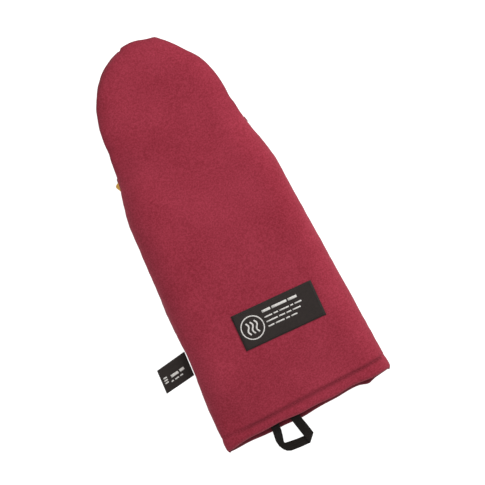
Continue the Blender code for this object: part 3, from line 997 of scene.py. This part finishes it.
def on_patch(tree, u, v, lift):
    """A place on the label, u along it and v across it from its middle, laid on the cloth."""
    x = PATCH_CENTRE.x + u * math.cos(PATCH_TURN) - v * math.sin(PATCH_TURN)
    y = PATCH_CENTRE.y + u * math.sin(PATCH_TURN) + v * math.cos(PATCH_TURN)
    spot = tree.ray_cast(Vector((x, y, 0.08)), Vector((0, 0, -1)))[0]
    return Vector((x, y, spot.z + lift))


def add_ribbon(shape, points, width, normal=Vector((0, 0, 1))):
    """A flat band along the points."""
    points = [Vector(point) for point in points]
    edges = []
    for k, place in enumerate(points):
        ahead = points[min(k + 1, len(points) - 1)] - points[max(k - 1, 0)]
        across = normal.cross(ahead).normalized() * (width / 2)
        edges.append((shape.verts.new(place - across), shape.verts.new(place + across)))
    for one, other in zip(edges, edges[1:]):
        shape.faces.new((one[0], one[1], other[1], other[0]))


def dashes(start, end, lengths, gap):
    """Start and end pairs of the word-like dashes in a line."""
    place, found, k = start, [], 0
    while place + lengths[k % len(lengths)] < end:
        length = lengths[k % len(lengths)]
        found.append((place, place + length))
        place += length + gap
        k += 1
    return found


FIGURE_CLOTH = 0.0001
# Height, thickness, start, end and dash lengths of each line
LABEL_LINES = (
    (0.0098, 0.0024, -0.0125, 0.0300, (0.0085, 0.0150, 0.0090)),
    (0.0040, 0.0013, -0.0125, 0.0290, (0.0080, 0.0045, 0.0095, 0.0030, 0.0070)),
    (-0.0005, 0.0013, -0.0125, 0.0315, (0.0115, 0.0060, 0.0050, 0.0080)),
    (-0.0050, 0.0013, -0.0125, 0.0180, (0.0060, 0.0090, 0.0040)),
)
RING_PLACE = -0.0262
RING_REACH = 0.0108
RING_WIDTH = 0.0011
HEAT_LINE_PITCH = 0.0042
HEAT_LINE_REACH = 0.0058
HEAT_LINE_WIDTH = 0.0015


def make_patch():
    """The woven label on the back: a plain ring with a heat symbol, and dashes in place of words."""
    tree = surface_tree(BACK_COVER)
    rows = []
    for v in np.linspace(-0.5, 0.5, 15) * PATCH_WIDTH:
        rows.append([on_patch(tree, u, v, PATCH_LIFT) for u in np.linspace(-0.5, 0.5, 31) * PATCH_LENGTH])
    label = mesh_from_grid("label_patch_cloth", np.array(rows), False)
    thicken(label, PATCH_CLOTH, 1.0)
    dress(label, "label", "woven_label")
    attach(label, "hand")
    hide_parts("label_patch")
    top = PATCH_LIFT + PATCH_CLOTH + 0.00006
    shape = bmesh.new()
    ring = []
    for turn in np.linspace(0, 2 * math.pi, 49):
        u = RING_PLACE + RING_REACH * math.cos(turn)
        ring.append(on_patch(tree, u, RING_REACH * math.sin(turn), top))
    add_ribbon(shape, ring, RING_WIDTH)
    for offset in (-HEAT_LINE_PITCH, 0.0, HEAT_LINE_PITCH):
        rise = np.linspace(-HEAT_LINE_REACH, HEAT_LINE_REACH, 15)
        run = [on_patch(tree, RING_PLACE + offset + 0.0011 * math.sin(y * 640), y, top) for y in rise]
        add_ribbon(shape, run, HEAT_LINE_WIDTH)
    for height, thick, start, end, lengths in LABEL_LINES:
        for left, right in dashes(start, end, lengths, 0.0014):
            run = [on_patch(tree, u, height, top) for u in np.linspace(left, right, 4)]
            add_ribbon(shape, run, thick)
    figures = finish_shape("label_patch_figures", shape)
    thicken(figures, FIGURE_CLOTH, 0.0)
    dress(figures, "figure", "woven_label")
    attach(figures, "hand")
    u = PATCH_LENGTH / 2 - PATCH_BORDER
    v = PATCH_WIDTH / 2 - PATCH_BORDER
    corners = [(-u, -v), (u, -v), (u, v), (-u, v), (-u, -v)]
    outline = []
    for (u1, v1), (u2, v2) in zip(corners, corners[1:]):
        for share in np.linspace(0, 1, 24)[:-1]:
            spot = (u1 + (u2 - u1) * share, v1 + (v2 - v1) * share)
            outline.append(on_patch(tree, *spot, PATCH_LIFT + PATCH_CLOTH))
    outline.append(outline[0])
    thread = stitches("label_stitches", outline, LABEL_STITCH_PITCH, LABEL_STITCH_GAP, LABEL_THREAD)
    dress(thread, "black_thread", "black_thread")
    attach(thread, "hand")
    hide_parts("label_stitch")


FLAG_LENGTH = 0.0305
FLAG_WIDTH = 0.0240
FLAG_SKEW = 0.0065
FLAG_PLY = 0.0005
FLAG_CLOTH = 0.0004
FLAG_ROOT_GAP = 0.0006
FLAG_ROOT_PINCH = 0.42
FLAG_ROOT_TAPER = 0.16
FLAG_FOLD = 0.985
FLAG_SAG = 0.0022
FLAG_RIPPLE = 0.0007
FLAG_NARROWING = 0.02
FLAG_OUT = Vector((-FLAG_LINE.y, FLAG_LINE.x, 0)).normalized()


def flag_place(u, v, ply):
    """u from the seam to the fold, v across, ply above or below the label's middle."""
    sag = -FLAG_SAG * u ** 2 + FLAG_RIPPLE * math.sin(math.pi * v * 1.3) * u
    spot = FLAG_AXIS + FLAG_OUT * (FLAG_LENGTH * u + FLAG_ROOT_GAP)
    spot += FLAG_LINE.normalized() * (v * FLAG_WIDTH * (1 - FLAG_NARROWING * u) - FLAG_SKEW * u)
    return spot + Vector((0, 0, ply + sag))


def make_flag():
    """The folded side label, with a plain bar mark and dashes in place of words."""
    rows = []
    ups = [(u, FLAG_PLY) for u in np.linspace(0, FLAG_FOLD, 22)]
    turns = np.linspace(0, math.pi, 7)[1:-1]
    fold = [(FLAG_FOLD + (1 - FLAG_FOLD) * math.sin(turn), FLAG_PLY * math.cos(turn)) for turn in turns]
    downs = [(u, -FLAG_PLY) for u in np.linspace(FLAG_FOLD, 0, 22)]
    for u, ply in [*ups, *fold, *downs]:
        pinch = FLAG_ROOT_PINCH + (1 - FLAG_ROOT_PINCH) * float(ease(u / FLAG_ROOT_TAPER))
        rows.append([list(flag_place(u, v, ply * pinch)) for v in np.linspace(-0.5, 0.5, 15)])
    flag = mesh_from_grid("side_flag_cloth", np.array(rows), False)
    thicken(flag, FLAG_CLOTH, 0.0)
    dress(flag, "label", "woven_label")
    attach(flag, "flag_label")
    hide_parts("side_flag_label")
    top = FLAG_PLY + 0.00028
    shape = bmesh.new()
    for v in (-0.13, -0.03, 0.07):
        add_ribbon(shape, [flag_place(u, v, top) for u in np.linspace(0.80, 0.92, 4)], 0.0013)
    for v, thick, start, end, lengths in (
        (-0.02, 0.0026, 0.20, 0.74, (0.16, 0.26)),
        (-0.20, 0.0012, 0.30, 0.74, (0.10, 0.14, 0.08)),
    ):
        for left, right in dashes(start, end, lengths, 0.05):
            add_ribbon(shape, [flag_place(u, v, top) for u in np.linspace(left, right, 4)], thick)
    marks = finish_shape("side_flag_figures", shape)
    thicken(marks, FIGURE_CLOTH, 0.0)
    dress(marks, "figure", "woven_label")
    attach(marks, "flag_label")


# Both edges of the loop's tape, from one sewn end to the other, from the cuff edge; and how far it is raised
LOOP_SECTIONS = (
    ((-0.0397, 0.0005), (-0.0314, 0.0005), 0.0),
    ((-0.0407, -0.0060), (-0.0322, -0.0055), 0.0),
    ((-0.0418, -0.0119), (-0.0335, -0.0100), 0.0),
    ((-0.0412, -0.0175), (-0.0347, -0.0140), 0.0),
    ((-0.0390, -0.0222), (-0.0352, -0.0162), 0.0),
    ((-0.0362, -0.0252), (-0.0347, -0.0174), 0.0),
    ((-0.0325, -0.0268), (-0.0325, -0.0178), 0.0),
    ((-0.0230, -0.0276), (-0.0230, -0.0190), 0.0),
    ((-0.0138, -0.0279), (-0.0140, -0.0196), 0.0),
    ((-0.0138, -0.0279), (-0.0062, -0.0200), 0.0006),
    ((-0.0150, -0.0225), (-0.0068, -0.0165), 0.0012),
    ((-0.0170, -0.0130), (-0.0082, -0.0100), 0.0012),
    ((-0.0200, 0.0005), (-0.0112, 0.0005), 0.0),
)
TAPE = 0.0011
TAPE_ON_TABLE = 0.0012
TACK_STITCHES = 9
LOOP_LOWER = 0.0026


def tape_height(y):
    """The tape leaves the cuff's inside and drops onto the table."""
    return LOOP_AXIS.z - (LOOP_AXIS.z - TAPE_ON_TABLE) * float(ease(-y / 0.021))


def make_tape(name, sections, body, nodes):
    """A length of tape through its sections."""
    rows = []
    for (x1, y1), (x2, y2), lift in sections:
        ends = []
        for share in np.linspace(0, 1, 7):
            x = x1 + (x2 - x1) * share
            y = y1 + (y2 - y1) * share
            y -= LOOP_LOWER * float(ease(-y / 0.012))
            ends.append((x, CUFF_Y + y, tape_height(y) + lift))
        rows.append(ends)
    grid = np.array(rows)
    fine = []
    for one, other in zip(grid, grid[1:]):
        fine += [one + (other - one) * share for share in (0, 0.25, 0.5, 0.75)]
    obj = mesh_from_grid(name, np.array([*fine, grid[-1]]), True)
    thicken(obj, TAPE, 0.0)
    dress(obj, "webbing", "black_webbing")
    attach(obj, body)
    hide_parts(*nodes)
    return obj


def make_loop():
    """The hang loop, its two tails inside the cuff, and the bar tack over each tail."""
    loop = make_tape("hang_loop_tape", LOOP_SECTIONS, "hang_loop", ["hang_loop"])
    for name, (outer, inner, _) in (("left", LOOP_SECTIONS[0]), ("right", LOOP_SECTIONS[-1])):
        low, high = sorted((outer[0], inner[0]))
        sections = [((low, y), (high, y), 0.0) for y in (0.0012, 0.008, 0.015, 0.022)]
        tail = make_tape(f"hang_loop_{name}_tail_tape", sections, "hand", [f"hang_loop_{name}_tail"])
        shape = bmesh.new()
        z = LOOP_AXIS.z + 0.0007
        for k in range(TACK_STITCHES):
            y = CUFF_Y + HEM_DEPTH / 2 + (0.0011 if k % 2 else -0.0011)
            x = low + 0.0008 + (high - low - 0.0016) * k / (TACK_STITCHES - 1)
            run = [(x - 0.0004, y - 0.0012, z), (x + 0.0004, y + 0.0012, z)]
            add_strand(shape, np.array(run), 0.0003, 5)
        tack = finish_shape(f"hang_loop_{name}_tack", shape)
        dress(tack, "black_thread", "black_thread")
        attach(tack, "hand")
        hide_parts(f"hang_loop_{name}_bartack")


make_seams()
make_hem_stitches("back", BACK, 1)
make_hem_stitches("palm", PALM, -1)
make_guard("web_guard_upper", 1)
make_guard("web_guard_lower", -1)
make_patch()
make_flag()
make_loop()


# Stage

FLOOR_TONE = 0.30
FLOOR_GLOW = 0.96
SKY = 0.72


def make_stage():
    """A white floor that stays free of shadow, a soft key from the right and a weak fill."""
    bpy.ops.mesh.primitive_plane_add(size=6, location=(0, 0.1, -0.0004))
    floor = bpy.context.object
    floor.name = "floor"
    shader = Shader("floor_paper", 0.9, specular=0.1)
    shader.surface.inputs["Emission Color"].default_value = (1, 1, 1, 1)
    shader.surface.inputs["Emission Strength"].default_value = FLOOR_GLOW
    floor.data.materials.append(shader.finish((FLOOR_TONE, FLOOR_TONE, FLOOR_TONE, 1)))
    world = bpy.data.worlds.new("studio")
    bpy.context.scene.world = world
    world.use_nodes = True
    world.node_tree.nodes["Background"].inputs["Color"].default_value = (1, 1, 1, 1)
    world.node_tree.nodes["Background"].inputs["Strength"].default_value = SKY
    for name, place, size, power in (
        ("key", (1.0, 0.40, 0.85), 0.8, 17),
        ("fill", (-0.5, 0.5, 1.3), 1.2, 3),
    ):
        light = bpy.data.lights.new(name, "AREA")
        light.size = size
        light.energy = power
        lamp = bpy.data.objects.new(name, light)
        lamp.location = place
        lamp.rotation_euler = (Vector((0, 0.05, 0)) - Vector(place)).to_track_quat("-Z", "Y").to_euler()
        bpy.context.scene.collection.objects.link(lamp)


CAMERA_AIM = Vector((0.0129, CUFF_Y + 0.168, MIDDLE * 1.6))
CAMERA_TURN = math.radians(-26.2)
CAMERA_LENS = 110
CAMERA_VIEW = 0.4495
SENSOR = 36


def make_camera():
    """Straight down on the mitt, turned as it lies in the picture."""
    data = bpy.data.cameras.new("camera")
    data.lens = CAMERA_LENS
    data.sensor_width = SENSOR
    camera = bpy.data.objects.new("camera", data)
    distance = CAMERA_VIEW * CAMERA_LENS / SENSOR
    camera.location = CAMERA_AIM + Vector((0, 0, distance))
    camera.rotation_euler = (0, 0, CAMERA_TURN)
    data.clip_end = 20
    bpy.context.scene.collection.objects.link(camera)
    bpy.context.scene.camera = camera


make_stage()
make_camera()
bpy.context.scene.view_settings.view_transform = "Standard"
